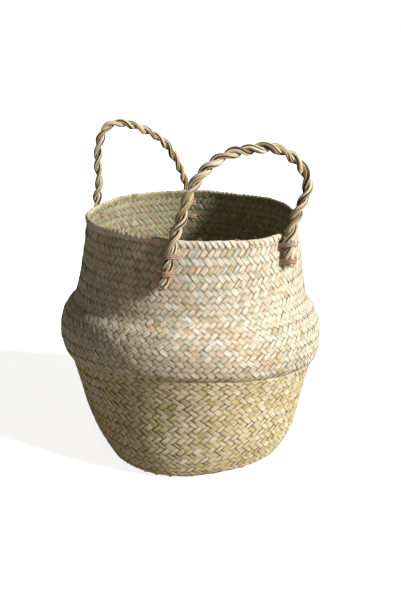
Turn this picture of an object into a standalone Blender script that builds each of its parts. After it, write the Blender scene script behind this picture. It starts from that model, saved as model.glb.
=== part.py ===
"""Seagrass belly basket: a woven bowl, a folded belly, a neck with a border and two lashed rope handles.

Metres, +Z up. The origin is the centre of the underside. The front handle is centred on -Y.
"Left" and "right" are as seen when facing that handle from outside the basket.
"""

import math

import bpy
import numpy as np
from mathutils import Matrix, Vector

MM = 0.001

# Woven wall, as (radius, height) stations of its outer face in millimetres
WALL_THICKNESS = 3.0
PIECE_GAP = 0.3
BASE_RADIUS = 90.0
LOWER_BOWL_STATIONS = ((90.0, 0.0), (96.0, 4.0), (101.0, 12.0), (108.0, 28.0), (113.0, 50.0))
UPPER_BOWL_STATIONS = ((113.1, 50.3), (116.3, 76.0), (119.0, 92.0), (122.5, 107.7))
BELLY_STATIONS = ((122.5, 108.0), (127.5, 110.2), (131.5, 115.0), (134.0, 122.5), (135.0, 132.0))
SHOULDER_STATIONS = ((135.0, 132.3), (134.2, 142.0), (131.5, 151.5), (127.0, 159.6), (120.0, 166.7))
NECK_STATIONS = ((120.0, 167.0), (116.3, 182.0), (112.8, 200.0), (109.8, 218.0), (107.2, 235.0), (106.3, 241.0))
WALL_SEGMENTS = 48

# Border along the mouth
RIM_TOP = 248.6
BORDER_SECTION = (
    (104.4, 248.6), (105.8, 247.4), (106.2, 244.6), (106.0, 241.3),
    (102.4, 241.3), (101.9, 244.6), (102.8, 247.4),
)

# Two-ply rope
PLY_RADIUS = 2.75
PLY_CENTRE_RADIUS = 2.9
ROPE_PITCH = 30.0
ROPE_RADIUS = PLY_RADIUS + PLY_CENTRE_RADIUS
POINTS_PER_TURN = 9
END_LEAD = 0.5

# Handles: where they bend, and their line as (sideways, height above the mouth)
HINGE_HEIGHT = 256.6
HINGE_REACH = 98.0
BEND_HALF_LENGTH = 16.0
REAR_HANDLE_TURN = math.radians(190.0)
FRONT_LINE = (
    (-66, -40), (-61, -26), (-57, -10), (-54, 4), (-47, 22), (-38, 45), (-25, 62), (-6, 74), (18, 78), (40, 78.5),
    (59, 70), (71, 58), (77, 44), (75, 31), (68, 19), (60, 8), (56.5, -4), (57, -15), (59, -33),
)
REAR_LINE = (
    (-60, -36), (-57, -12), (-52, 6), (-46, 22), (-38, 38), (-25, 55), (-6, 68), (15, 77), (33, 80), (46, 74),
    (53, 58), (55, 40), (54, 21), (55, 8), (56.5, -8), (58, -36),
)

# Lashings: a band of thread round the rope and through two slots in the neck wall
LASHING_HEIGHTS = {"upper": 236.8, "lower": 221.0}
LASHING_HALF_HEIGHT = 2.0
THREAD_THICKNESS = 1.4
ROPE_CLEARANCE = 0.4
INSIDE_CLEARANCE = 0.9
LASHING_ARC_POINTS = 8


def clear_scene():
    for obj in list(bpy.data.objects):
        bpy.data.objects.remove(obj, do_unlink=True)


def new_collection(name):
    collection = bpy.data.collections.new(name)
    bpy.context.scene.collection.children.link(collection)
    return collection


def new_material(name, colour, roughness):
    material = bpy.data.materials.new(name)
    material.use_nodes = True
    shader = material.node_tree.nodes["Principled BSDF"]
    shader.inputs["Base Color"].default_value = (*colour, 1.0)
    shader.inputs["Roughness"].default_value = roughness
    material.diffuse_color = (*colour, 1.0)
    return material


def new_object(name, data, collection, material=None):
    obj = bpy.data.objects.new(name, data)
    collection.objects.link(obj)
    if material:
        data.materials.append(material)
    return obj


def new_empty(name, position, collection, parent=None):
    """An empty on a joint's axis; the pieces that move with the joint hang from it."""
    empty = new_object(name, None, collection)
    empty.location = position
    empty.empty_display_size = 0.03
    if parent:
        hang(empty, parent)
    return empty


def hang(obj, parent):
    obj.parent = parent
    obj.matrix_parent_inverse = Matrix.Translation(-world_position(parent))


def world_position(empty):
    """World position of an unrotated empty whose parents are unrotated too."""
    return Vector(empty.location)


def inner_side(outer, thickness, first_is_upright):
    """Stations offset inwards from the outer ones. Both ends are cut level, or the first one upright."""
    inner = []
    for index, (radius, height) in enumerate(outer):
        if index == 0 and first_is_upright:
            inner.append((radius, height + thickness))
        elif index in (0, len(outer) - 1):
            inner.append((radius - thickness, height))
        else:
            before = Vector(outer[index]) - Vector(outer[index - 1])
            after = Vector(outer[index + 1]) - Vector(outer[index])
            along = (before.normalized() + after.normalized()).normalized()
            reach = thickness / along.dot(before.normalized())
            inner.append((radius - along.y * reach, height + along.x * reach))
    return inner


def turned_ring(name, section, collection, material):
    """A closed section in millimetres, turned once round the Z axis."""
    mesh = bpy.data.meshes.new(name)
    count = len(section)
    mesh.from_pydata(
        [(radius * MM, 0.0, height * MM) for radius, height in section],
        [(index, (index + 1) % count) for index in range(count)],
        [],
    )
    ring = new_object(name, mesh, collection, material)
    screw = ring.modifiers.new("Turn", "SCREW")
    screw.axis = "Z"
    screw.angle = math.tau
    screw.steps = WALL_SEGMENTS
    screw.render_steps = WALL_SEGMENTS
    screw.use_merge_vertices = True
    screw.merge_threshold = 0.0001
    screw.use_smooth_shade = True
    return ring


def wall_ring(name, stations, collection, material, first_is_upright=False):
    inner = inner_side(stations, WALL_THICKNESS, first_is_upright)
    return turned_ring(name, list(reversed(stations)) + inner, collection, material)


def base_disc(name, collection, material):
    bpy.ops.mesh.primitive_cylinder_add(
        vertices=WALL_SEGMENTS,
        radius=(BASE_RADIUS - PIECE_GAP) * MM,
        depth=WALL_THICKNESS * MM,
        location=(0.0, 0.0, WALL_THICKNESS / 2 * MM),
    )
    disc = bpy.context.object
    disc.name = name
    disc.data.name = name
    disc.data.materials.append(material)
    for holder in list(disc.users_collection):
        holder.objects.unlink(disc)
    collection.objects.link(disc)
    return disc


def neck_radius(height):
    heights = [station[1] for station in NECK_STATIONS]
    radii = [station[0] for station in NECK_STATIONS]
    return float(np.interp(height, heights, radii))


def neck_tilt():
    """Angle of the neck wall from upright, where the feet of the handles are."""
    low = neck_radius(215.0)
    high = neck_radius(240.0)
    return math.atan2(low - high, 25.0)


def rope_stand_off():
    """Level distance from the neck's outer face to the middle of a rope lying on it."""
    return (ROPE_RADIUS + PIECE_GAP) / math.cos(neck_tilt())


def handle_stations(line):
    """Points of a handle's middle line: the feet follow the neck, the bow stands upright over the mouth."""
    points = []
    for sideways, above in line:
        height = RIM_TOP + above
        if above < 0:
            reach = neck_radius(height) + rope_stand_off()
            outward = math.sqrt(reach**2 - sideways**2)
        else:
            outward = HINGE_REACH
        points.append(np.array((sideways, -outward, height), dtype=float))
    return points


def smooth_line(stations, step=0.5):
    """A smooth curve through the stations, as points at equal steps along it."""
    ends = [2 * stations[0] - stations[1]] + stations + [2 * stations[-1] - stations[-2]]
    dense = []
    for before, start, finish, after in zip(ends, ends[1:], ends[2:], ends[3:]):
        start_slope = (finish - before) / 2
        finish_slope = (after - start) / 2
        for part in np.linspace(0.0, 1.0, 40, endpoint=False):
            square, cube = part**2, part**3
            dense.append(
                (2 * cube - 3 * square + 1) * start
                + (cube - 2 * square + part) * start_slope
                + (3 * square - 2 * cube) * finish
                + (cube - square) * finish_slope
            )
    dense.append(stations[-1])
    dense = np.array(dense)
    lengths = np.concatenate([[0.0], np.cumsum(np.linalg.norm(np.diff(dense, axis=0), axis=1))])
    even = np.arange(0.0, lengths[-1], step)
    return np.column_stack([np.interp(even, lengths, dense[:, axis]) for axis in range(3)]), even


class RopeLine:
    """A rope's middle line with a frame carried along it without twisting."""

    def __init__(self, stations, turn):
        self.points, self.along = smooth_line(stations)
        self.points = self.points @ np.array(Matrix.Rotation(turn, 3, "Z")).T
        self.tangents = np.gradient(self.points, axis=0)
        self.tangents /= np.linalg.norm(self.tangents, axis=1)[:, None]
        outward = np.array(Matrix.Rotation(turn, 3, "Z") @ Vector((0.0, -1.0, 0.0)))
        self.normals = []
        for tangent in self.tangents:
            outward = outward - tangent * np.dot(outward, tangent)
            outward = outward / np.linalg.norm(outward)
            self.normals.append(outward)
        self.normals = np.array(self.normals)
        self.length = self.along[-1]

    def where(self, rows, distance):
        return np.array([np.interp(distance, self.along, rows[:, axis]) for axis in range(3)])

    def distance_at_height(self, height, from_left):
        """How far along the line it passes this height, near its left or its right foot."""
        heights = self.points[:, 2]
        top = int(np.argmax(heights))
        if from_left:
            return float(np.interp(height, heights[:top], self.along[:top]))
        return float(np.interp(height, heights[top:][::-1], self.along[top:][::-1]))

    def ply_point(self, distance, phase):
        centre = self.where(self.points, distance)
        tangent = self.where(self.tangents, distance)
        normal = self.where(self.normals, distance)
        side = np.cross(tangent, normal)
        angle = math.tau * distance / ROPE_PITCH + phase
        return centre + PLY_CENTRE_RADIUS * (math.cos(angle) * normal + math.sin(angle) * side)


def ply_distances(start, finish):
    """Even steps along one length of rope, with a short step at each end so that its end faces are square."""
    start += PIECE_GAP / 2
    finish -= PIECE_GAP / 2
    count = max(2, round((finish - start) / ROPE_PITCH * POINTS_PER_TURN))
    middle = np.linspace(start, finish, count + 1)[1:-1]
    return [start, start + END_LEAD, *middle, finish - END_LEAD, finish]


def ply(name, line, span, phase, origin, collection, material):
    """One ply of one length of rope: a round strand on a helix about the rope's middle line."""
    curve = bpy.data.curves.new(name, "CURVE")
    curve.dimensions = "3D"
    curve.bevel_depth = PLY_RADIUS * MM
    curve.bevel_resolution = 2
    curve.use_fill_caps = True
    distances = ply_distances(*span)
    spline = curve.splines.new("POLY")
    spline.points.add(len(distances) - 1)
    for point, distance in zip(spline.points, distances):
        place = Vector(line.ply_point(distance, phase)) * MM - origin
        point.co = (*place, 1.0)
    strand = new_object(name, curve, collection, material)
    strand.location = origin
    return strand


def foot_frame(line, height, from_left):
    """Frame of a lashing: X level along the wall, Y out of the wall, Z up the rope."""
    distance = line.distance_at_height(height, from_left)
    centre = Vector(line.where(line.points, distance)) * MM
    level_out = Vector((centre.x, centre.y, 0.0)).normalized()
    outward = level_out * math.cos(neck_tilt()) + Vector((0.0, 0.0, math.sin(neck_tilt())))
    sideways = Vector((0.0, 0.0, 1.0)).cross(level_out)
    upward = sideways.cross(outward) * -1.0
    upward = outward.cross(sideways) if upward.z < 0 else upward
    sideways = outward.cross(upward)
    return Matrix.Translation(centre) @ Matrix((sideways, outward, upward)).transposed().to_4x4()


def lashing_outline(radius, depth):
    """Round the outer side of the rope, then straight in through the wall to a level back."""
    angles = np.linspace(0.0, math.pi, LASHING_ARC_POINTS)
    arc = [(radius * math.cos(angle), radius * math.sin(angle)) for angle in angles]
    corner = 0.8
    return arc + [(-radius, corner - depth), (corner - radius, -depth), (radius - corner, -depth), (radius, corner - depth)]


def lashing(name, frame, collection, material):
    """A flat band of thread that holds the rope against the wall."""
    inner_radius = ROPE_RADIUS + ROPE_CLEARANCE
    wall_depth = ROPE_RADIUS + PIECE_GAP + WALL_THICKNESS + INSIDE_CLEARANCE
    curve = bpy.data.curves.new(name, "CURVE")
    curve.dimensions = "2D"
    curve.fill_mode = "BOTH"
    curve.extrude = LASHING_HALF_HEIGHT * MM
    for grow in (THREAD_THICKNESS, 0.0):
        outline = lashing_outline(inner_radius + grow, wall_depth + grow)
        spline = curve.splines.new("POLY")
        spline.points.add(len(outline) - 1)
        spline.use_cyclic_u = True
        for point, (across, out) in zip(spline.points, outline):
            point.co = (across * MM, out * MM, 0.0, 1.0)
    band = new_object(name, curve, collection, material)
    band.matrix_world = frame
    return band


def slot_cutter(name, frame, side, collection):
    """A small block where one leg of a lashing passes through the wall."""
    leg = ROPE_RADIUS + ROPE_CLEARANCE + THREAD_THICKNESS / 2
    depth = ROPE_RADIUS + PIECE_GAP + WALL_THICKNESS / 2
    bpy.ops.mesh.primitive_cube_add(size=1.0)
    cutter = bpy.context.object
    cutter.name = name
    size = Vector((
        THREAD_THICKNESS + 2 * PIECE_GAP,
        WALL_THICKNESS + 4.0,
        2 * (LASHING_HALF_HEIGHT + PIECE_GAP),
    ))
    cutter.data.transform(Matrix.Diagonal((*(size * MM), 1.0)))
    cutter.matrix_world = frame @ Matrix.Translation(Vector((side * leg, -depth, 0.0)) * MM)
    cutter.display_type = "WIRE"
    cutter.hide_render = True
    for holder in list(cutter.users_collection):
        holder.objects.unlink(cutter)
    collection.objects.link(cutter)
    return cutter


def build_walls(collection, materials):
    base_disc("woven_base", collection, materials["lower"])
    wall_ring("lower_bowl", LOWER_BOWL_STATIONS, collection, materials["lower"], first_is_upright=True)
    wall_ring("upper_bowl", UPPER_BOWL_STATIONS, collection, materials["lower"])
    wall_ring("belly_ring", BELLY_STATIONS, collection, materials["upper"])
    wall_ring("shoulder", SHOULDER_STATIONS, collection, materials["upper"])
    neck = wall_ring("neck_wall", NECK_STATIONS, collection, materials["upper"])
    border = turned_ring("rim_border", BORDER_SECTION, collection, materials["border"])
    return neck, border


def build_handle(side, stations, turn, neck_slide, collection, cutters, materials):
    """One rope from foot to foot, cut into feet, bends and bow, with two lashings on each foot."""
    line = RopeLine(handle_stations(stations), turn)
    hinge = Matrix.Rotation(turn, 3, "Z") @ Vector((0.0, -HINGE_REACH, HINGE_HEIGHT)) * MM
    pivot = new_empty(f"{side}_handle_pivot", hinge, collection, neck_slide)
    left = line.distance_at_height(HINGE_HEIGHT, True)
    right = line.distance_at_height(HINGE_HEIGHT, False)
    spans = {
        f"{side}_left_foot": (0.0, left - BEND_HALF_LENGTH),
        f"{side}_left_bend": (left - BEND_HALF_LENGTH, left + BEND_HALF_LENGTH),
        f"{side}_handle_bow": (left + BEND_HALF_LENGTH, right - BEND_HALF_LENGTH),
        f"{side}_right_bend": (right - BEND_HALF_LENGTH, right + BEND_HALF_LENGTH),
        f"{side}_right_foot": (right + BEND_HALF_LENGTH, line.length),
    }
    for part_name, span in spans.items():
        moves = part_name.endswith("bow")
        parent = pivot if moves else neck_slide
        for letter, phase in (("a", 0.0), ("b", math.pi)):
            strand = ply(
                f"{part_name}_ply_{letter}", line, span, phase, world_position(parent), collection, materials["rope"]
            )
            hang(strand, parent)
    for foot, from_left in (("left", True), ("right", False)):
        for level, height in LASHING_HEIGHTS.items():
            frame = foot_frame(line, height, from_left)
            name = f"{side}_{foot}_{level}_lashing"
            band = lashing(name, frame, collection, materials["thread"])
            hang(band, neck_slide)
            for leg, leg_name in ((-1, "slot_one"), (1, "slot_two")):
                slot_cutter(f"{name}_{leg_name}", frame, leg, cutters)


def main():
    clear_scene()
    basket = new_collection("seagrass_basket")
    cutters = new_collection("cutters")
    cutters.hide_render = True
    materials = {
        "lower": new_material("woven_seagrass_lower", (0.42, 0.33, 0.19), 0.8),
        "upper": new_material("woven_seagrass_upper", (0.53, 0.43, 0.29), 0.8),
        "border": new_material("border_strands", (0.56, 0.47, 0.32), 0.75),
        "rope": new_material("twisted_seagrass_rope", (0.47, 0.35, 0.21), 0.8),
        "thread": new_material("lashing_thread", (0.55, 0.37, 0.27), 0.7),
    }
    neck_slide = new_empty("neck_slide", Vector((0.0, 0.0, SHOULDER_STATIONS[0][1] * MM)), basket)
    neck, border = build_walls(basket, materials)
    build_handle("front", FRONT_LINE, 0.0, neck_slide, basket, cutters, materials)
    build_handle("rear", REAR_LINE, REAR_HANDLE_TURN, neck_slide, basket, cutters, materials)
    slots = neck.modifiers.new("Lashing slots", "BOOLEAN")
    slots.operand_type = "COLLECTION"
    slots.collection = cutters
    slots.operation = "DIFFERENCE"
    slots.solver = "EXACT"
    hang(neck, neck_slide)
    hang(border, neck_slide)


main()
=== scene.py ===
import math
import bpy
import numpy as np
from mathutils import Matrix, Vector


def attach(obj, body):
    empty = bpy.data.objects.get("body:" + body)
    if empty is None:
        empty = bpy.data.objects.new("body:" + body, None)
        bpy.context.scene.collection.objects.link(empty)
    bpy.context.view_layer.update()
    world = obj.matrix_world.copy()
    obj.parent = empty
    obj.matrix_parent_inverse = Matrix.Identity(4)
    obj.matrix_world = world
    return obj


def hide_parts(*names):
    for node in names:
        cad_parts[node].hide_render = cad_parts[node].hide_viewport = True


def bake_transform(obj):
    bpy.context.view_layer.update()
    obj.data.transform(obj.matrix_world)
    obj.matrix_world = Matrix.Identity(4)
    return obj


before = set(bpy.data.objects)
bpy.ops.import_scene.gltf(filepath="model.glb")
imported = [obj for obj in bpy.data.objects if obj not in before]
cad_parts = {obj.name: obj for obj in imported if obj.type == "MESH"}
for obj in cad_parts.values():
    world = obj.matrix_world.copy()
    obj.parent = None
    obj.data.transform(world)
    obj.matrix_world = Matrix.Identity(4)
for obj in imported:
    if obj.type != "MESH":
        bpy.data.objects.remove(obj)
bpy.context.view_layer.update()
print("frame loaded:", len(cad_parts), "nodes")

mm = 0.001
tau = math.tau
up = np.array((0.0, 0.0, 1.0))


def linearColour(code):  # sRGB hex to linear, with alpha 1
    parts = [int(code[k:k + 2], 16) / 255 for k in (1, 3, 5)]
    return tuple(c / 12.92 if c <= 0.04045 else ((c + 0.055) / 1.055) ** 2.4 for c in parts) + (1.0,)


def unit(rows):
    return rows / np.linalg.norm(rows, axis=-1, keepdims=True)


def ease(values, low, high):  # smooth 0 to 1 between low and high
    t = np.clip((values - low) / (high - low), 0.0, 1.0)
    return t * t * (3 - 2 * t)


def smoothLine(stations, steps=24):  # dense smooth curve through the stations, any dimension
    pts = [np.array(p, float) for p in stations]
    pts = [2 * pts[0] - pts[1]] + pts + [2 * pts[-1] - pts[-2]]
    out = []
    for a, b, c, d in zip(pts, pts[1:], pts[2:], pts[3:]):
        for t in np.linspace(0, 1, steps, endpoint=False):
            bent = (2 * a - 5 * b + 4 * c - d) * t**2 + (3 * b - a - 3 * c + d) * t**3
            out.append(0.5 * (2 * b + (c - a) * t + bent))
    out.append(pts[-2])
    return np.array(out)


def lengthsAlong(line):
    return np.concatenate([[0.0], np.cumsum(np.linalg.norm(np.diff(line, axis=0), axis=1))])


def resample(line, where):  # points of a line at these distances along it
    along = lengthsAlong(line)
    return np.column_stack([np.interp(where, along, line[:, k]) for k in range(line.shape[1])])


def swaying(where, perMillimetre, rng):  # a slow wave along a line, starting anywhere
    return np.sin(where / mm * perMillimetre + rng.uniform(0, tau))


def carried(tangents, first):  # a normal carried along a line without twisting
    out, n = [], first
    for t in tangents:
        n = n - t * np.dot(n, t)
        n = n / np.linalg.norm(n)
        out.append(n)
    return np.array(out)


# how this basket has settled: a little oval, squarish at the foot, lumpy, with a slanting fold
settling = {
    "ovalShare": 0.030, "ovalTurn": math.radians(-69), "ovalFrom": 0.150, "ovalTo": 0.245,
    "squareShare": 0.030, "squareTurn": math.radians(-46), "squareFrom": 0.010, "squareTo": 0.085,
    # lumps: how many round, phase, how far they wind over the wall's height, share of the radius
    "lumps": ((3, 0.7, 9.0, 0.0035), (5, 2.1, -14.0, 0.0028), (8, 4.0, 22.0, 0.0018), (13, 1.2, -37.0, 0.0011)),
    "wallHeight": 0.25,
    # rim wave: how many round, phase, height in metres
    "rimWave": ((2, 0.6, 0.0016), (3, 2.4, 0.0012), (7, 0.3, 0.0006)), "rimFrom": 0.19, "rimTo": 0.245,
    "bowsFrom": 0.252, "bowsTo": 0.275,
    "foldTurn": math.radians(-111), "foldTilt": 0.0080, "foldSway": 0.0050, "foldSlope": 0.0040,
    "foldHeight": 0.108, "foldLeaves": 0.120, "foldGone": 0.215,
}


def settle(points):
    p = np.array(points, float)
    x, y, z = p[..., 0], p[..., 1], p[..., 2]
    turn, radius = np.arctan2(y, x), np.hypot(x, y)
    s = settling
    belowBows = 1 - ease(z, s["bowsFrom"], s["bowsTo"])  # the bows above the mouth keep their own line
    oval = np.cos(2 * (turn - s["ovalTurn"])) * ease(z, s["ovalFrom"], s["ovalTo"])
    square = np.cos(4 * (turn - s["squareTurn"])) * (1 - ease(z, s["squareFrom"], s["squareTo"]))
    grow = s["ovalShare"] * oval + s["squareShare"] * square
    for times, phase, climb, share in s["lumps"]:
        grow = grow + share * np.sin(times * turn + phase + climb * z / s["wallHeight"])
    grow = grow * belowBows
    radius = radius * (1 + grow)
    lift = sum(high * np.sin(times * turn + phase) for times, phase, high in s["rimWave"])
    z = z + lift * ease(z, s["rimFrom"], s["rimTo"]) * belowBows
    fromFold = turn - s["foldTurn"]
    fold = s["foldTilt"] * np.cos(fromFold) + s["foldSway"] * np.cos(2 * fromFold)
    fold = fold - s["foldSlope"] * np.sin(fromFold)
    z = z + fold * ease(z, 0.0, s["foldHeight"]) * (1 - ease(z, s["foldLeaves"], s["foldGone"]))
    return np.stack([radius * np.cos(turn), radius * np.sin(turn), z], axis=-1)


# the section of a leaf as (across, up) in half widths and thicknesses, slightly domed on its outer side
flatStrip = ((0.0, -0.5), (1.0, -0.10), (0.92, 0.44), (0.0, 0.52), (-0.92, 0.44), (-1.0, -0.10))
stripAcross = np.array([corner[0] for corner in flatStrip])
underSide = np.array((1.0, 0.15, 0.0, 0.0, 0.0, 0.15))  # how far each corner is on the leaf's inner side


def stripRings(centres, normals, widths, thickness):
    # centres (..., steps, 3): the middle line of each strip; gives a ring of corners at every step
    tangents = unit(np.gradient(centres, axis=-2))
    sides = unit(np.cross(tangents, normals))
    ups = np.cross(sides, tangents)
    rings = [centres + sides * (cx * widths / 2)[..., None] + ups * (cy * thickness)[..., None]
             for cx, cy in flatStrip]
    return np.stack(rings, axis=-2)


def ringFaces(strips, rings, corners):
    ids = np.arange(strips * rings * corners).reshape(strips, rings, corners)
    a, b = ids[:, :-1], ids[:, 1:]
    quads = np.stack([a, b, np.roll(b, -1, axis=-1), np.roll(a, -1, axis=-1)], axis=-1).reshape(-1, 4)
    caps = np.concatenate([ids[:, 0, :], ids[:, -1, ::-1]])
    return quads, caps


def buildStrips(name, rings, across, along, looks, material, tuckShade=None, inner=None, flat=True):
    # rings (strips, steps, corners, 3), across (corners), along (strips, steps) in metres
    # looks (strips, steps, 3): tone, greenness and a number of its own for each leaf
    # the tuck shade (strips, steps): how far under its neighbours, darkened there as painted shade; inner (strips,
    # steps, corners): its unbleached side
    count, steps, corners, _ = rings.shape
    quads, caps = ringFaces(count, steps, corners)
    mesh = bpy.data.meshes.new(name)
    points = rings.reshape(-1, 3)
    mesh.vertices.add(len(points))
    mesh.vertices.foreach_set("co", points.astype(np.float32).ravel())
    loops = np.concatenate([quads.ravel(), caps.ravel()]).astype(np.int32)
    sizes = np.concatenate([np.full(len(quads), 4), np.full(len(caps), corners)]).astype(np.int32)
    mesh.loops.add(len(loops))
    mesh.loops.foreach_set("vertex_index", loops)
    mesh.polygons.add(len(sizes))
    mesh.polygons.foreach_set("loop_start", np.concatenate([[0], np.cumsum(sizes)[:-1]]).astype(np.int32))
    mesh.polygons.foreach_set("loop_total", sizes)
    mesh.update(calc_edges=True)
    mesh.polygons.foreach_set("use_smooth", np.full(len(sizes), not flat))
    wide = np.broadcast_to(across, (count, steps, corners)).reshape(-1)
    long = np.broadcast_to(along[..., None], (count, steps, corners)).reshape(-1)
    layer = mesh.uv_layers.new(name="leafMap")
    layer.data.foreach_set("uv", np.column_stack([wide[loops], long[loops]]).astype(np.float32).ravel())
    look = mesh.attributes.new("leafLook", "FLOAT_VECTOR", "POINT")
    look.data.foreach_set("vector", np.repeat(looks.reshape(-1, 3), corners, axis=0).astype(np.float32).ravel())
    shade = np.zeros((count, steps, corners, 3))
    if tuckShade is not None:
        shade[..., 0] = tuckShade[..., None]
    if inner is not None:
        shade[..., 1] = inner
    dim = mesh.attributes.new("leafShade", "FLOAT_VECTOR", "POINT")
    dim.data.foreach_set("vector", shade.astype(np.float32).ravel())
    mesh.materials.append(material)
    piece = bpy.data.objects.new(name, mesh)
    bpy.context.scene.collection.objects.link(piece)
    return piece


def newMaterial(name):
    material = bpy.data.materials.new(name)
    material.use_nodes = True
    return material, material.node_tree, material.node_tree.nodes["Principled BSDF"]


def addNode(tree, kind, settings=None, links=None):
    # settings go on the node, or on its sockets where the key is a socket; links are {input: output socket}
    node = tree.nodes.new(kind)
    for key, value in (settings or {}).items():
        if isinstance(key, str) and hasattr(node, key):
            setattr(node, key, value)
        else:
            node.inputs[key].default_value = value
    for key, source in (links or {}).items():
        tree.links.new(source, node.inputs[key])
    return node


def fillRamp(node, stops):
    ramp = node.color_ramp
    while len(ramp.elements) < len(stops):
        ramp.elements.new(0.5)
    for element, (place, code) in zip(ramp.elements, stops):
        element.position = place
        element.color = linearColour(code)


def leafMaterial(name, look):
    # dried seagrass: a flat, nearly matte leaf with fine ribs along it, faded and greened unevenly
    material, tree, shader = newMaterial(name)
    attr = addNode(tree, "ShaderNodeAttribute", {"attribute_name": "leafLook"})
    parts = addNode(tree, "ShaderNodeSeparateXYZ", links={0: attr.outputs["Vector"]})
    uv = addNode(tree, "ShaderNodeUVMap", {"uv_map": "leafMap"})
    # ribs: about 7 across a 4.6 mm leaf, each running on for a centimetre or so; every leaf has its own place
    place = addNode(tree, "ShaderNodeCombineXYZ", links={"Z": parts.outputs["Z"]})
    split = addNode(tree, "ShaderNodeSeparateXYZ", links={0: uv.outputs["UV"]})
    times = {"operation": "MULTIPLY"}
    wide = addNode(tree, "ShaderNodeMath", {**times, 1: look["ribsAcross"]}, {0: split.outputs["X"]})
    far = addNode(tree, "ShaderNodeMath", {**times, 1: look["ribsAlong"]}, {0: split.outputs["Y"]})
    tree.links.new(wide.outputs[0], place.inputs["X"])
    tree.links.new(far.outputs[0], place.inputs["Y"])
    ribs = addNode(tree, "ShaderNodeTexNoise", {"Scale": 1.0, "Detail": 3.0, "Roughness": 0.6},
                   {"Vector": place.outputs[0]})
    slow = addNode(tree, "ShaderNodeVectorMath", {**times, 1: (0.25, 0.55, 1.0)}, {0: place.outputs[0]})
    cloud = addNode(tree, "ShaderNodeTexNoise", {"Scale": 1.0, "Detail": 2.0, "Roughness": 0.5},
                    {"Vector": slow.outputs[0]})
    # pale to brown by the leaf's tone, nudged by the slow noise
    nudge = addNode(tree, "ShaderNodeMath",
                    {"operation": "MULTIPLY_ADD", 1: look["cloudShare"], 2: -look["cloudShare"] / 2},
                    {0: cloud.outputs[0]})
    tone = addNode(tree, "ShaderNodeMath", {"operation": "ADD", "use_clamp": True},
                   {0: parts.outputs["X"], 1: nudge.outputs[0]})
    warm = addNode(tree, "ShaderNodeValToRGB", links={0: tone.outputs[0]})
    fillRamp(warm, look["warm"])
    green = addNode(tree, "ShaderNodeValToRGB", links={0: tone.outputs[0]})
    fillRamp(green, look["green"])
    leaf = addNode(tree, "ShaderNodeMix", {"data_type": "RGBA", "blend_type": "MIX"},
                   {0: parts.outputs["Y"], 6: warm.outputs[0], 7: green.outputs[0]})
    # darker between the ribs, and painted shade along the leaf's edges where it meets its neighbours
    between = addNode(tree, "ShaderNodeMapRange",
                      {"From Min": 0.36, "From Max": 0.58, "To Min": look["ribDark"], "To Max": 1.0},
                      {"Value": ribs.outputs[0]})
    edge = addNode(tree, "ShaderNodeMath", {"operation": "ABSOLUTE"}, {0: split.outputs["X"]})
    # painted shade: the outermost part of each edge is darkened
    paintedEdgeShade = addNode(tree, "ShaderNodeMapRange",
                       {"From Min": 0.86, "From Max": 1.0, "To Min": 1.0, "To Max": look["paintedEdgeShade"]},
                       {"Value": edge.outputs[0]})
    shade = addNode(tree, "ShaderNodeMath", times, {0: between.outputs[0], 1: paintedEdgeShade.outputs[0]})
    # painted shade where it goes under its neighbours, and mottled green on the side that never saw the sun
    dims = addNode(tree, "ShaderNodeAttribute", {"attribute_name": "leafShade"})
    dimParts = addNode(tree, "ShaderNodeSeparateXYZ", links={0: dims.outputs["Vector"]})
    tuckShading = addNode(tree, "ShaderNodeMath", {"operation": "MULTIPLY_ADD", 1: -look["paintedTuckShade"], 2: 1.0},
                     {0: dimParts.outputs["X"]})
    shade = addNode(tree, "ShaderNodeMath", times, {0: shade.outputs[0], 1: tuckShading.outputs[0]})
    inside = addNode(tree, "ShaderNodeMath", {"operation": "POWER", 1: 0.45}, {0: dimParts.outputs["Y"]})
    mottle = addNode(tree, "ShaderNodeValToRGB", links={0: cloud.outputs[0]})
    fillRamp(mottle, look["innerMottle"])
    innerTint = addNode(tree, "ShaderNodeMix", {"data_type": "RGBA", "blend_type": "MULTIPLY"},
                        {0: inside.outputs[0], 6: leaf.outputs[2], 7: mottle.outputs[0]})
    final = addNode(tree, "ShaderNodeMix", {"data_type": "RGBA", "blend_type": "MULTIPLY", 0: 1.0},
                    {6: innerTint.outputs[2]})
    grey = addNode(tree, "ShaderNodeCombineColor", links={channel: shade.outputs[0] for channel in range(3)})
    tree.links.new(grey.outputs[0], final.inputs[7])
    tree.links.new(final.outputs[2], shader.inputs["Base Color"])
    # the ribs' tops are a little shinier than the grooves
    rough = addNode(tree, "ShaderNodeMapRange",
                    {"From Min": 0.3, "From Max": 0.7, "To Min": look["rough"] + 0.1, "To Max": look["rough"] - 0.08},
                    {"Value": ribs.outputs[0]})
    tree.links.new(rough.outputs[0], shader.inputs["Roughness"])
    bump = addNode(tree, "ShaderNodeBump", {"Strength": look["bump"], "Distance": 0.4 * mm},
                   {"Height": ribs.outputs[0]})
    tree.links.new(bump.outputs[0], shader.inputs["Normal"])
    shader.inputs["IOR"].default_value = 1.45
    shader.inputs["Specular IOR Level"].default_value = look["gloss"]
    return material


# bleached and dry: cream, straw and pinkish leaves with a grey green one here and there
upperLook = {
    # the edge and tuck darkening in these looks is painted shade, along the leaves' edges and where they go under
    # their neighbours
    "ribsAcross": 3.4, "ribsAlong": 75.0, "cloudShare": 0.50, "ribDark": 0.56, "paintedEdgeShade": 0.50,
    "rough": 0.6, "bump": 0.3, "gloss": 0.35, "paintedTuckShade": 0.37,
    "innerMottle": ((0.32, "#a59a86"), (0.44, "#b3bb9e"), (0.58, "#bfc4ac"), (0.70, "#d6d4c2")),
    "warm": ((0.0, "#fdf6e8"), (0.30, "#f6e9d2"), (0.55, "#efd8be"), (0.80, "#e2c49c"), (1.0, "#c09a6c")),
    "green": ((0.0, "#f0ede0"), (0.35, "#e0dfcd"), (0.70, "#cfc89c"), (1.0, "#ae9e5a")),
}
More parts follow.
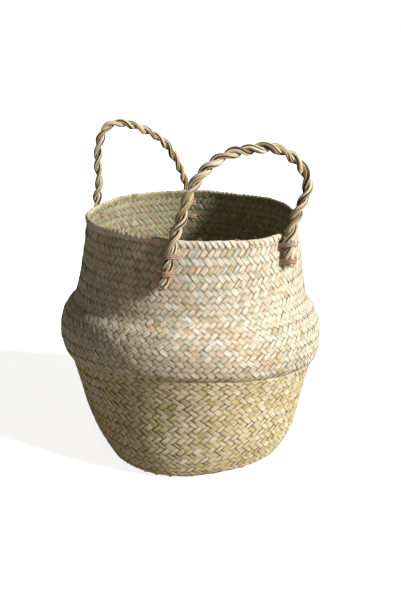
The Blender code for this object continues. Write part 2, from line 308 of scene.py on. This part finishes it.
# kept from the sun: straw to olive, deeper in colour than the top
bowlLook = dict(
    upperLook, ribDark=0.62,
    warm=((0.0, "#fbf2dc"), (0.30, "#f3e3c0"), (0.60, "#e8d1a4"), (0.85, "#d5b480"), (1.0, "#ad8752")),
    green=((0.0, "#f1e9c9"), (0.35, "#e4d8a6"), (0.70, "#d0be80"), (1.0, "#aa9458")),
)
# smoother than the wall, from being pressed over the edge
borderLook = dict(upperLook, paintedEdgeShade=0.72, ribDark=0.66)
# rolled and pulled tight: strong ribs, from pale straw to brown
ropeLook = dict(
    upperLook, ribsAcross=3.0, ribsAlong=120.0, ribDark=0.66, paintedEdgeShade=0.5, bump=0.5,
    warm=((0.0, "#faf1de"), (0.35, "#ead8b8"), (0.65, "#d0b38a"), (0.88, "#a4845e"), (1.0, "#74573a")),
    green=((0.0, "#efe9d0"), (0.5, "#d3c9a0"), (1.0, "#998a5c")),
)
upperSeagrass = leafMaterial("plaited_seagrass_pale", upperLook)
bowlSeagrass = leafMaterial("plaited_seagrass_olive", bowlLook)
borderSeagrass = leafMaterial("folded_seagrass_border", borderLook)
ropeSeagrass = leafMaterial("twisted_seagrass_leaves", ropeLook)


def plainMaterial(name, codes, rough):  # fuzzy thread of two shades, the darker one laid in the bump's hollows as painted shade
    material, tree, shader = newMaterial(name)
    shader.inputs["Roughness"].default_value = rough
    coords = addNode(tree, "ShaderNodeTexCoord")
    noise = addNode(tree, "ShaderNodeTexNoise", {"Scale": 900.0, "Detail": 2.0},  # grains about 1 mm apart
                    {"Vector": coords.outputs["Object"]})
    ramp = addNode(tree, "ShaderNodeValToRGB", links={0: noise.outputs[0]})
    fillRamp(ramp, tuple(zip((0.35, 0.65), codes)))
    tree.links.new(ramp.outputs[0], shader.inputs["Base Color"])
    bump = addNode(tree, "ShaderNodeBump", {"Strength": 0.5, "Distance": 0.3 * mm}, {"Height": noise.outputs[0]})
    tree.links.new(bump.outputs[0], shader.inputs["Normal"])
    return material


ropeHeartShade = plainMaterial("rope_heart_painted_shade", ("#35241a", "#5c4330"), 0.9)  # painted shade: the ply's core is coloured dark so that the gaps between the leaves look shadowed
twine = plainMaterial("dyed_cotton_twine", ("#a08070", "#c9aa98"), 0.8)  # soft dull pink
print("materials ready")


plait = {
    "pitch": 0.0046, "thickness": 0.00082, "rise": 0.00066, "wide": 1.14, "narrow": 0.87, "dive": 0.30, "bias": 0.10,
    "upperCount": 116, "bowlCount": 92, "seed": 7,
    "wander": 0.035, "weave": 0.03, "roll": 0.05, "rollWeave": 0.06, "swell": 0.03,
    "slant": 1.4,  # length of a strand for each length of wall
    "leafRun": 4,  # crossings before the next leaf is spliced in
    # the tuck range sets how near each dive the painted shade falls
    "strandTone": 0.52, "leafTone": 0.34, "tuckFrom": 0.08, "tuckTo": 0.24,
}
# middle of the wall's thickness as (radius, height), in millimetres
bowlLine = (
    (84.0, 1.6), (89.2, 1.8), (95.0, 5.4), (99.6, 12.8), (106.6, 28.5), (112.2, 50.4), (117.4, 76.2),
    (121.3, 92.3), (124.6, 105.0), (125.4, 110.2),
)
upperLine = (
    (122.8, 111.6), (125.9, 108.9), (128.6, 110.8), (131.0, 115.4), (132.8, 122.6), (133.5, 132.0),
    (132.7, 142.0), (130.0, 150.8), (125.6, 158.8), (118.9, 166.4), (114.8, 181.6), (111.3, 199.7),
    (108.3, 217.7), (105.7, 234.7), (104.3, 246.8),
)


def rowsAlong(line, count):  # where each crossing of the plait lies along the wall, from its strand pitch
    dense = smoothLine(line) * mm
    along = lengthsAlong(dense)
    spacing = tau * dense[:, 0] / count
    perMetre = 2 * np.sqrt(1 - np.minimum(plait["pitch"] / spacing, 0.9) ** 2) / plait["pitch"]
    rows = np.concatenate([[0.0], np.cumsum((perMetre[1:] + perMetre[:-1]) / 2 * np.diff(along))])
    whole = round(rows[-1])
    return dense, rows * whole / rows[-1], whole


def plaitWall(name, line, count, lean, material, greenShare, toneShift):
    # lean -1: strands that climb to the left; +1: to the right; n counts the strands crossed on the way up
    rng = np.random.default_rng(plait["seed"] + (0 if lean < 0 else 100) + count)
    dense, rows, whole = rowsAlong(line, count)
    dives = np.arange(-0.5, whole + 2, 2.0)  # where a strand passes from outside to inside or back
    n = np.concatenate([dives + step for step in (-0.46, -0.14, 0.14, 0.46, 1.0)])
    n = np.unique(np.concatenate([n[(n > 0) & (n < whole)], (0.0, whole)]))
    radius, height = np.interp(n, rows, dense[:, 0]), np.interp(n, rows, dense[:, 1])
    slopeR, slopeZ = np.gradient(radius), np.gradient(height)
    slopeLength = np.hypot(slopeR, slopeZ)
    outR, outZ = slopeZ / slopeLength, -slopeR / slopeLength
    strand = np.arange(count)
    jitter = rng.normal(0, plait["wander"], (count, 1))
    jitter = jitter + plait["weave"] * np.sin(n[None, :] * 0.35 + rng.uniform(0, tau, (count, 1)))
    turn = tau / count * (strand[:, None] + jitter) + lean * math.pi / count * n[None, :] - math.pi / 2
    swing = np.cos(math.pi / 2 * (n - 0.5))
    wave = swing * math.sqrt(1 + plait["dive"] ** 2) / np.sqrt(swing**2 + plait["dive"] ** 2) + plait["bias"]
    rise = plait["rise"] * (-lean * wave)[None, :] * rng.uniform(0.9, 1.12, (count, 1))
    outward = np.stack([outR * np.cos(turn), outR * np.sin(turn), np.broadcast_to(outZ, turn.shape)], axis=-1)
    centres = np.stack([radius * np.cos(turn), radius * np.sin(turn), np.broadcast_to(height, turn.shape)], axis=-1)
    centres = settle(centres) + outward * rise[..., None]
    roll = rng.normal(0, plait["roll"], (count, 1))
    roll = roll + plait["rollWeave"] * np.sin(n[None, :] * 0.8 + rng.uniform(0, tau, (count, 1)))
    tangents = unit(np.gradient(centres, axis=-2))
    tipped = unit(outward + np.cross(tangents, outward) * roll[..., None])
    share = np.where(strand % 2 == 0, plait["wide"], plait["narrow"])[:, None] * rng.uniform(0.94, 1.05, (count, 1))
    widths = plait["pitch"] * share * (1 + plait["swell"] * np.cos(math.pi * (n - 0.5)))[None, :]
    thick = plait["thickness"] * rng.uniform(0.85, 1.15, (count, 1)) * np.ones_like(widths)
    rings = stripRings(centres, tipped, widths, thick)
    along = lengthsAlong(np.column_stack([radius, height])) * plait["slant"]
    along = np.broadcast_to(along, (count, len(n)))
    # each strand is spliced from shorter leaves, so its tone changes every few crossings
    run = plait["leafRun"]
    cells = whole // run + 3
    splice = rng.uniform(0, 1, (count, cells))
    cell = np.clip(((n[None, :] + rng.integers(0, run, (count, 1)) + 0.5) // run).astype(int), 0, cells - 1)
    perLeaf = np.take_along_axis(splice, cell, axis=1)
    perStrand = rng.beta(1.6, 2.6, (count, 1))
    tone = np.clip(plait["strandTone"] * perStrand + plait["leafTone"] * perLeaf**1.8 + toneShift, 0, 1)
    # the narrow strands are green more often than the wide ones
    isGreen = rng.uniform(0, 1, (count, 1)) < greenShare * np.where(strand % 2 == 0, 0.45, 1.6)[:, None]
    green = np.clip(isGreen * rng.uniform(0.5, 1.0, (count, 1)) + (perLeaf > 0.86) * 0.5, 0, 1)
    looks = np.stack([tone, green, np.broadcast_to(strand[:, None] * 3.7 + lean * 11.0, tone.shape)], axis=-1)
    # painted shade: each strand is darkened near every dive, where it goes under its neighbours
    fromDive = np.abs((n + 1.5) % 2.0 - 1.0)
    tuckShade = np.broadcast_to(1 - ease(fromDive, plait["tuckFrom"], plait["tuckTo"]), tone.shape)
    inner = np.broadcast_to(underSide, rings.shape[:3])
    return buildStrips(name, rings, stripAcross, along, looks, material, tuckShade, inner)


for label, lean in (("left", -1), ("right", 1)):
    upper = plaitWall(f"upper_wall_strands_{label}", upperLine, plait["upperCount"], lean, upperSeagrass,
                      0.2 if lean < 0 else 0.42, 0.0 if lean < 0 else 0.06)
    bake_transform(upper)
    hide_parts("belly_ring", "shoulder", "neck_wall")
    bowl = plaitWall(f"bowl_strands_{label}", bowlLine, plait["bowlCount"], lean, bowlSeagrass,
                     0.3 if lean < 0 else 0.5, -0.03)
    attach(bowl, "root")
    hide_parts("lower_bowl", "upper_bowl")
print("walls plaited")


# the bottom: the same plait laid square and flat
bottom = {"reach": 0.0905, "samples": 3, "level": 0.0017, "rise": 0.0009, "thickness": 0.00105, "width": 0.95,
          "greenShare": 0.4, "green": 0.8, "seed": 40}


def plaitBase(name, lean):
    rng = np.random.default_rng(bottom["seed"] + lean)
    reach, pitch, level = bottom["reach"], plait["pitch"], bottom["level"]
    half = int(reach / pitch)
    parts, alongs, looks = [], [], []
    steps = int(2 * reach / pitch * bottom["samples"]) + 2
    for k in range(-half, half + 1):
        offset = k * pitch
        length = math.sqrt(max(reach**2 - offset**2, 0.0001))
        run = np.linspace(-length, length, steps)
        n = run / pitch
        wave = np.cos(math.pi / 2 * (n - lean * k - 0.5)) * (1 if lean > 0 else -1)
        beside = np.full_like(run, offset)
        x, y = (run, beside) if lean > 0 else (beside, run)
        centres = settle(np.column_stack([x, y, np.full_like(x, level)]))
        centres[:, 2] = level - bottom["rise"] * wave  # the outside is the underside
        parts.append(centres)
        alongs.append(run + 1.0)
        tone = np.clip(rng.beta(2, 2.4) + 0.15 * np.sin(n * 0.6 + rng.uniform(0, tau)), 0, 1)
        green = float(rng.uniform() < bottom["greenShare"]) * bottom["green"]
        looks.append(np.column_stack([tone, np.full(steps, green), np.full(steps, k * 2.9 + lean)]))
    centres = np.array(parts)
    normals = np.broadcast_to(-up, centres.shape)
    widths = np.full(centres.shape[:2], pitch * bottom["width"])
    thick = np.full(centres.shape[:2], bottom["thickness"])
    rings = stripRings(centres, normals, widths, thick)
    piece = buildStrips(name, rings, stripAcross, np.array(alongs), np.array(looks), bowlSeagrass)
    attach(piece, "root")
    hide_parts("woven_base")
    return piece


plaitBase("base_strands_across", 1)
plaitBase("base_strands_along", -1)
print("base plaited")


# each strand of the wall is folded over the edge and tucked in under its neighbours
border = {
    "low": 0.2434, "top": 0.2486, "half": 0.0014, "width": 0.0054, "thickness": 0.0005, "steps": 15, "lean": 0.056,
    "shingle": 0.10, "radius": 0.1046, "flare": 0.12, "flareFrom": 0.248, "bulge": 1.1,
    "round": 0.2,  # share of a fold's length on each side of the top that is curved
    "roundHeight": 0.0022, "greenShare": 0.25, "seed": 21,
}


def foldedBorder():
    rng = np.random.default_rng(border["seed"])
    count, b = plait["upperCount"], border
    t = np.linspace(0, 1, b["steps"])  # from the outside over the top to the inside
    fromTop = np.abs(t - 0.5)
    curved = fromTop < b["round"]
    bend = np.clip((t - 0.5) / b["round"], -1, 1) * math.pi / 2
    shoulder = b["top"] - b["roundHeight"]
    straight = shoulder - (fromTop - b["round"]) / (0.5 - b["round"]) * (shoulder - b["low"])
    level = np.where(curved, shoulder + b["roundHeight"] * np.cos(bend), straight)
    out = np.where(curved, -b["half"] * np.sin(bend), -b["half"] * np.sign(t - 0.5))
    out = np.convolve(np.pad(out, 1, mode="edge"), (0.25, 0.5, 0.25), "valid") * b["bulge"]
    out = out * (0.25 + 0.75 * ease(0.5 - fromTop, 0.0, 0.22))  # both ends go in under the strands of the wall
    strand = np.arange(count)[:, None]
    slant = b["lean"] * (1 - 2 * fromTop)
    turn = tau / count * (strand + 0.5 + rng.normal(0, 0.06, (count, 1))) - slant[None, :] - math.pi / 2
    radius = b["radius"] + (b["flareFrom"] - level) * b["flare"] + out
    middles = np.stack([radius * np.cos(turn), radius * np.sin(turn), np.broadcast_to(level, turn.shape)], axis=-1)
    middles = middles + up * rng.normal(0, 0.00025, (count, 1, 1))
    centres = settle(middles)
    normalOut, normalUp = -np.sin(bend), np.cos(bend)
    normalUp = np.broadcast_to(normalUp, turn.shape)
    flat = np.stack([normalOut * np.cos(turn), normalOut * np.sin(turn), normalUp], axis=-1)
    widths = b["width"] * rng.uniform(0.85, 1.05, (count, 1)) * np.ones_like(turn)
    thick = b["thickness"] * np.ones_like(turn)
    sideways = np.stack([-np.sin(turn), np.cos(turn), 0 * turn], axis=-1)
    tipped = unit(unit(flat) + b["shingle"] * sideways)  # each overlaps the next
    rings = stripRings(centres, tipped, widths, thick)
    along = np.broadcast_to(np.linspace(0, 0.02, b["steps"]), turn.shape)
    tone = np.clip(rng.beta(1.5, 3.2, (count, 1)) + 0 * turn, 0, 1)
    green = np.where(rng.uniform(0, 1, (count, 1)) < b["greenShare"], 0.7, 0.0) + 0 * turn
    looks = np.stack([tone, green, strand * 5.1 + 0 * turn], axis=-1)
    inner = np.broadcast_to(ease(t, 0.55, 0.72)[None, :, None], rings.shape[:3])
    piece = buildStrips("folded_border", rings, stripAcross, along, looks, borderSeagrass,
                        inner=inner)
    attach(piece, "neck")
    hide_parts("rim_border")
    return piece


foldedBorder()
print("border folded")


# lengths in this part are in millimetres
rope = {
    "plyRadius": 2.75, "centre": 2.55, "pitch": 30.0, "leaves": 8, "leafTwist": 0.05, "leafThick": 0.7, "step": 0.9,
    "hingeHeight": 256.6, "hingeReach": 98.0, "bendHalf": 16.0, "rimTop": 248.6, "heartShare": 0.72, "heartSides": 8,
    "gap": 0.35, "wallTilt": math.radians(8.6), "greenShare": 0.3, "green": 0.6,
}
neckOuter = ((167.0, 120.0), (182.0, 116.3), (200.0, 112.8), (218.0, 109.8), (235.0, 107.2), (241.0, 106.3))
# the ropes' middle lines as (sideways, above the rim)
frontLine = (
    (-66, -40), (-61, -26), (-57, -10), (-54, 4), (-47, 22), (-38, 45), (-25, 62), (-6, 74), (18, 78), (40, 78.5),
    (59, 70), (71, 58), (77, 44), (75, 31), (68, 19), (60, 8), (56.5, -4), (57, -15), (59, -33),
)
rearLine = (
    (-60, -36), (-57, -12), (-52, 6), (-46, 22), (-38, 38), (-25, 55), (-6, 68), (15, 77), (33, 80), (46, 74),
    (53, 58), (55, 40), (54, 21), (55, 8), (56.5, -8), (58, -36),
)
handles = {
    "front": {"line": frontLine, "turn": 0.0, "seed": 3, "size": 1.0},
    "rear": {"line": rearLine, "turn": math.radians(190), "seed": 5, "size": 0.88},
}


def neckRadius(height):
    return np.interp(height, [h for h, _ in neckOuter], [r for _, r in neckOuter])


def turned(points, angle):
    c, s = math.cos(angle), math.sin(angle)
    return points @ np.array(((c, s, 0), (-s, c, 0), (0, 0, 1.0)))


def ropeMiddle(side):
    h = handles[side]
    stations = []
    for sideways, above in h["line"]:
        height = rope["rimTop"] + above
        if above < 0:
            reach = neckRadius(height) + (rope["plyRadius"] * 2 + rope["gap"]) / math.cos(rope["wallTilt"])
            stations.append((sideways, -math.sqrt(reach**2 - sideways**2), height))
        else:
            stations.append((sideways, -rope["hingeReach"], height))
    line = settle(turned(smoothLine(stations) * mm, h["turn"]))
    total = lengthsAlong(line)[-1]
    where = np.arange(0, total, rope["step"] * mm)
    return resample(line, where), where


def plyMiddle(line, where, turn, phase, rng, size):
    tangents = unit(np.gradient(line, axis=0))
    outward = turned(np.array([[0.0, -1.0, 0.0]]), turn)[0]
    normals = carried(tangents, outward)
    sides = np.cross(tangents, normals)
    wander = 0.25 * swaying(where, 0.045, rng) + 0.12 * swaying(where, 0.13, rng)
    angle = tau * where / mm / rope["pitch"] + phase + wander
    reach = size * rope["centre"] * mm * (1 + 0.06 * swaying(where, 0.21, rng))
    return line + (np.cos(angle) * reach)[:, None] * normals + (np.sin(angle) * reach)[:, None] * sides


def twistRope(side):
    h = handles[side]
    rng = np.random.default_rng(h["seed"])
    line, where = ropeMiddle(side)
    twistRng = np.random.default_rng(h["seed"] + 50)
    wanderState = twistRng.bit_generator.state
    leafRings, leafAlong, leafLooks, heartRings = [], [], [], []
    section = ((-1, 0), (-0.4, 0), (0.4, 0), (1, 0), (0.4, 1), (-0.4, 1))  # across a leaf, and 1 on its inner side
    for ply, phase in enumerate((0.0, math.pi)):
        twistRng.bit_generator.state = wanderState  # both plies wander together
        middle = plyMiddle(line, where, h["turn"], phase, twistRng, h["size"])
        tangents = unit(np.gradient(middle, axis=0))
        normals = carried(tangents, np.array((0.3, 0.5, 0.2)))
        sides = np.cross(tangents, normals)
        swell = 1 + 0.07 * swaying(where, 0.11, rng) + 0.05 * swaying(where, 0.31, rng)
        radius = h["size"] * rope["plyRadius"] * mm * swell
        ring = np.linspace(0, tau, rope["heartSides"], endpoint=False)
        heart = middle[:, None, :] + rope["heartShare"] * radius[:, None, None] * (
            np.cos(ring)[None, :, None] * normals[:, None, :] + np.sin(ring)[None, :, None] * sides[:, None, :])
        heartRings.append(heart[3:-3])  # it stops short of the leaves' ends
        for leaf in range(rope["leaves"]):
            half = math.pi / rope["leaves"] * rng.uniform(0.92, 1.25)
            spin = tau * leaf / rope["leaves"] + rope["leafTwist"] * where / mm + 0.5 * swaying(where, 0.05, rng)
            tilt = rng.uniform(0.14, 0.34) * rng.choice((-1, 1))
            lift = 1 + 0.05 * swaying(where, rng.uniform(0.1, 0.25), rng)
            corners = []
            thick = rope["leafThick"] * mm
            for share, inner in section:
                angle = spin + share * half
                sunk = inner + (0.25 if abs(share) == 1 else 0)  # a leaf's edges turn in a little
                r = radius * lift * (1 + tilt * 0.5 * share) - sunk * thick
                corners.append(middle + (np.cos(angle) * r)[:, None] * normals + (np.sin(angle) * r)[:, None] * sides)
            corners = np.stack(corners, axis=1)
            leafRings.append(corners)
            leafAlong.append(where + leaf * 0.37 + ply * 1.3)
            tone = np.clip(0.85 * rng.beta(1.4, 2.4) + 0.18 * swaying(where, 0.06, rng), 0, 1)
            green = np.full(len(where), rope["green"] if rng.uniform() < rope["greenShare"] else 0.0)
            leafLooks.append(np.column_stack([tone, green, np.full(len(where), leaf * 7.3 + ply * 3.1)]))
    rings = np.array(leafRings)[:, :, ::-1]  # turned round so that the faces look outwards
    leafAcross = np.array([share for share, _ in reversed(section)], float)
    leaves = buildStrips(f"{side}_rope_leaves", rings, leafAcross, np.array(leafAlong), np.array(leafLooks),
                         ropeSeagrass, flat=False)
    hearts = np.array(heartRings)[:, :, ::-1]
    heart = buildStrips(f"{side}_rope_heart", hearts, np.linspace(-1, 1, rope["heartSides"]),
                        np.zeros(hearts.shape[:2]), np.zeros((*hearts.shape[:2], 3)), ropeHeartShade,
                        flat=False)
    for piece in (leaves, heart):
        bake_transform(piece)
    stoodFor = [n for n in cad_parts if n.startswith(side) and "_ply_" in n]
    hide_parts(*stoodFor)
    return line


ropeLines = {side: twistRope(side) for side in handles}
print("ropes twisted")


# the splayed ends of the ropes, in millimetres
looseEnds = {"perFoot": 7, "endWidth": 1.9, "endLength": 9.0, "thickness": 0.45, "steps": 12, "seed": 60}
# one pale leaf is turned back up and caught under the twine: sideways, outward and upward
turnedLeaf = (
    (-2.0, 1.5, 13.0), (-5.2, 0.5, 8.0), (-6.4, 0.0, 1.0), (-4.8, 0.0, -5.0), (-1.5, 0.8, -7.0), (1.4, 1.6, -4.0),
)


def footPlace(side, height, left):
    line = ropeLines[side]
    top = int(np.argmax(line[:, 2]))
    part = line[:top] if left else line[top:][::-1]
    return np.array([np.interp(height, part[:, 2], part[:, k]) for k in range(3)])


def footFrame(side, height, left):  # middle of the rope foot at a height, and its own three directions
    centre = footPlace(side, height, left)
    levelOut = unit(np.array((centre[0], centre[1], 0.0)))
    outward = levelOut * math.cos(rope["wallTilt"]) + up * math.sin(rope["wallTilt"])
    sideways = np.cross(up, levelOut)
    return centre, sideways, outward, np.cross(outward, sideways)


def splayEnds(side, foot):
    rng = np.random.default_rng(looseEnds["seed"] + 7 * list(handles).index(side) + (foot == "left"))
    line = ropeLines[side]
    lowest = line[0, 2] if foot == "left" else line[-1, 2]
    centre, sideways, outward, upward = footFrame(side, lowest + 3 * mm, foot == "left")
    t = np.linspace(0, 1, looseEnds["steps"])
    paths, widths = [], []
    for k in range(looseEnds["perFoot"]):
        start = rng.uniform(-3.2, 3.2)
        spread = start * rng.uniform(0.1, 0.8) + rng.normal(0, 0.8)
        length = looseEnds["endLength"] * rng.uniform(0.55, 1.0)
        across = start + spread * t**1.5 + rng.normal(0, 0.5) * np.sin(math.pi * t)
        out = rng.uniform(-1.5, 2.2) * (1 - t) - 3.2 * t + rng.uniform(0.2, 1.2) * np.sin(math.pi * t)
        down = 4 - length * t
        paths.append(centre + (across[:, None] * sideways + out[:, None] * outward + down[:, None] * upward) * mm)
        widths.append(looseEnds["endWidth"] * rng.uniform(0.6, 1.1) * (1 - 0.55 * t**3) * mm)
    if foot == "left" and side == "front":
        loop = smoothLine(turnedLeaf, 8)
        loop = resample(loop, np.linspace(0, lengthsAlong(loop)[-1], looseEnds["steps"]))
        paths.append(centre + (loop[:, :1] * sideways + loop[:, 1:2] * outward + loop[:, 2:] * upward) * mm)
        widths.append(np.full(len(t), 2.0 * mm))
    centres, widths = np.array(paths), np.array(widths)
    thick = np.full(widths.shape, looseEnds["thickness"] * mm)
    rings = stripRings(centres, np.broadcast_to(outward, centres.shape), widths, thick)
    tone = np.repeat(rng.beta(1.2, 2.0, (len(paths), 1)), len(t), axis=1)
    looks = np.stack([tone, 0 * tone, np.arange(len(paths))[:, None] * 9.1 + 0 * tone], axis=-1)
    along = np.broadcast_to(t * 0.012, tone.shape)
    piece = buildStrips(f"{side}_{foot}_rope_end", rings, stripAcross, along, looks, ropeSeagrass)
    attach(piece, "neck")


# fibres that stand off the border, in metres
fibres = {"count": 26, "width": 0.00028, "height": 0.2478, "rise": 0.0035, "drop": 0.002, "radius": 0.1052,
          "spread": 0.0012, "bow": 0.0015, "length": 0.07, "steps": 12, "seed": 77}


def looseFibres():
    rng = np.random.default_rng(fibres["seed"])
    count = fibres["count"]
    t = np.linspace(0, 1, fibres["steps"])
    arch = np.sin(math.pi * t)[None, :]
    turn = rng.uniform(0, tau, (count, 1)) + t[None, :] * rng.normal(0, fibres["length"], (count, 1))
    height = fibres["height"] + fibres["rise"] * arch * rng.uniform(0.2, 1.2, (count, 1))
    height = height - fibres["drop"] * t[None, :]
    radius = fibres["radius"] + rng.normal(0, fibres["spread"], (count, 1))
    radius = radius + fibres["bow"] * arch * rng.normal(0, 1, (count, 1))
    centres = settle(np.stack([radius * np.cos(turn), radius * np.sin(turn), height], axis=-1))
    normals = unit(centres * np.array((1, 1, 0.0)))
    widths = np.full(turn.shape, fibres["width"])
    rings = stripRings(centres, normals, widths, widths * 0.6)
    looks = np.zeros((*turn.shape, 3))
    looks[..., 0] = rng.uniform(0.0, 0.6, (count, 1))
    along = np.broadcast_to(t * 0.01, turn.shape)
    piece = buildStrips("loose_border_fibres", rings, stripAcross, along, looks, upperSeagrass)
    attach(piece, "neck")


# turns of twine round each rope foot and through the wall, in millimetres
lashing = {"heights": {"upper": 236.8, "lower": 221.0}, "twine": 0.72, "turns": 3, "spread": 1.5, "hug": 5.75,
           "footDepth": 5.9, "wall": 3.0, "stitch": 1.3, "seed": 90}


def lashFoot(side, foot, level):
    rng = np.random.default_rng(lashing["seed"] + 4 * len(side) + 2 * len(foot) + len(level))
    centre, sideways, outward, upward = footFrame(side, lashing["heights"][level] * mm, foot == "left")
    data = bpy.data.curves.new(f"{side}_{foot}_{level}_twine", "CURVE")
    data.dimensions, data.bevel_depth, data.bevel_resolution = "3D", lashing["twine"] * mm, 2
    hug = lashing["hug"] + lashing["twine"] * 0.8
    depth = lashing["footDepth"] + lashing["wall"] + lashing["stitch"]
    for k in range(lashing["turns"]):
        rise = (k - (lashing["turns"] - 1) / 2) * lashing["spread"] + rng.normal(0, 0.12)
        lean = rng.normal(0.06, 0.07)
        # half round over the rope, then straight in through the wall and across its inside
        outline = [(hug * math.cos(a), hug * math.sin(a)) for a in np.linspace(0, math.pi, 11)]
        outline += [(-hug, -depth * 0.5), (-hug * 0.93, -depth * 0.85), (-hug * 0.6, -depth), (0, -depth - 0.1),
                    (hug * 0.6, -depth), (hug * 0.93, -depth * 0.85), (hug, -depth * 0.5)]
        spline = data.splines.new("POLY")
        spline.points.add(len(outline) - 1)
        spline.use_cyclic_u = True
        for point, (across, out) in zip(spline.points, outline):
            place = centre + (sideways * across + outward * out + upward * (rise + lean * across)) * mm
            point.co = (*place, 1.0)
    curve = bpy.data.objects.new(f"{side}_{foot}_{level}_lashing_curve", data)
    bpy.context.scene.collection.objects.link(curve)
    mesh = bpy.data.meshes.new_from_object(curve)
    bpy.data.objects.remove(curve)
    mesh.polygons.foreach_set("use_smooth", np.ones(len(mesh.polygons), bool))
    mesh.materials.clear()
    mesh.materials.append(twine)
    piece = bpy.data.objects.new(f"{side}_{foot}_{level}_twine_lashing", mesh)
    bpy.context.scene.collection.objects.link(piece)
    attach(piece, "neck")
    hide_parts(f"{side}_{foot}_{level}_lashing")


looseFibres()
for side in handles:
    for foot in ("left", "right"):
        splayEnds(side, foot)
        for level in lashing["heights"]:
            lashFoot(side, foot, level)
print("ropes lashed")


# turns and pitches in degrees, reach and height in metres
studio = {
    "cameraTurn": -21.0, "cameraReach": 0.850, "cameraHeight": 0.4575, "cameraPitch": 19.57, "cameraYaw": 0.63,
    "lens": 51.94, "sensor": 36.0, "keyTurn": 40.0, "keyHeight": 29.0, "keySpread": 12.0, "keyStrength": 4.6,
    "keyColour": "#fffaf2", "skyStrength": 0.07, "floorGlow": 0.85, "floorSize": 12.0, "paper": "#fbfbfa",
    "paperBounce": "#aaa396",
}


def setCamera():
    turn, reach = math.radians(studio["cameraTurn"]), studio["cameraReach"]
    data = bpy.data.cameras.new("camera")
    camera = bpy.data.objects.new("camera", data)
    bpy.context.scene.collection.objects.link(camera)
    camera.location = (math.sin(turn) * reach, -math.cos(turn) * reach, studio["cameraHeight"])
    camera.rotation_euler = (math.radians(90 - studio["cameraPitch"]), 0, turn - math.radians(studio["cameraYaw"]))
    data.lens, data.sensor_width, data.sensor_fit = studio["lens"], studio["sensor"], "AUTO"
    data.clip_start = 0.01
    bpy.context.scene.camera = camera


def windowLight(name, turn, height, spread, strength, code):  # light of a large far window
    data = bpy.data.lights.new(name, "SUN")
    data.angle, data.energy, data.color = math.radians(spread), strength, linearColour(code)[:3]
    light = bpy.data.objects.new(name, data)
    bpy.context.scene.collection.objects.link(light)
    a, e = math.radians(turn), math.radians(height)
    away = Vector((math.sin(a) * math.cos(e), -math.cos(a) * math.cos(e), math.sin(e)))
    light.location = away
    light.rotation_euler = away.to_track_quat("Z", "Y").to_euler()


setCamera()
windowLight("key", studio["keyTurn"], studio["keyHeight"], studio["keySpread"], studio["keyStrength"],
            studio["keyColour"])
bpy.ops.mesh.primitive_plane_add(size=studio["floorSize"], location=(0, 0, 0))
floor = bpy.context.object
floor.name = "studio_floor"
# seen as plain white, but it throws only a little warm light back up
paper, paperTree, paperShader = newMaterial("matte_white_paper")
paperShader.inputs["Base Color"].default_value = linearColour(studio["paper"])
paperShader.inputs["Roughness"].default_value = 0.95
paperShader.inputs["Emission Color"].default_value = (1, 1, 1, 1)
paperShader.inputs["Emission Strength"].default_value = studio["floorGlow"]
dim = addNode(paperTree, "ShaderNodeBsdfDiffuse", {"Color": linearColour(studio["paperBounce"])})
seen = addNode(paperTree, "ShaderNodeLightPath")
mixed = addNode(paperTree, "ShaderNodeMixShader",
                links={0: seen.outputs["Is Camera Ray"], 1: dim.outputs[0], 2: paperShader.outputs[0]})
paperTree.links.new(mixed.outputs[0], paperTree.nodes["Material Output"].inputs["Surface"])
floor.data.materials.append(paper)
# faint warm light from all round, in front of a white backdrop
world = bpy.data.worlds.new("studio_sky")
bpy.context.scene.world = world
world.use_nodes = True
skyTree = world.node_tree
sky = skyTree.nodes["Background"]
sky.inputs["Strength"].default_value = studio["skyStrength"]
sky.inputs["Color"].default_value = (1.0, 0.95, 0.86, 1)
backdrop = addNode(skyTree, "ShaderNodeBackground", {"Strength": 1.0, "Color": (1, 1, 1, 1)})
seen = addNode(skyTree, "ShaderNodeLightPath")
mixed = addNode(skyTree, "ShaderNodeMixShader",
                links={0: seen.outputs["Is Camera Ray"], 1: sky.outputs[0], 2: backdrop.outputs[0]})
skyTree.links.new(mixed.outputs[0], skyTree.nodes["World Output"].inputs["Surface"])
bpy.context.scene.view_settings.view_transform = "Standard"
print("studio lit")
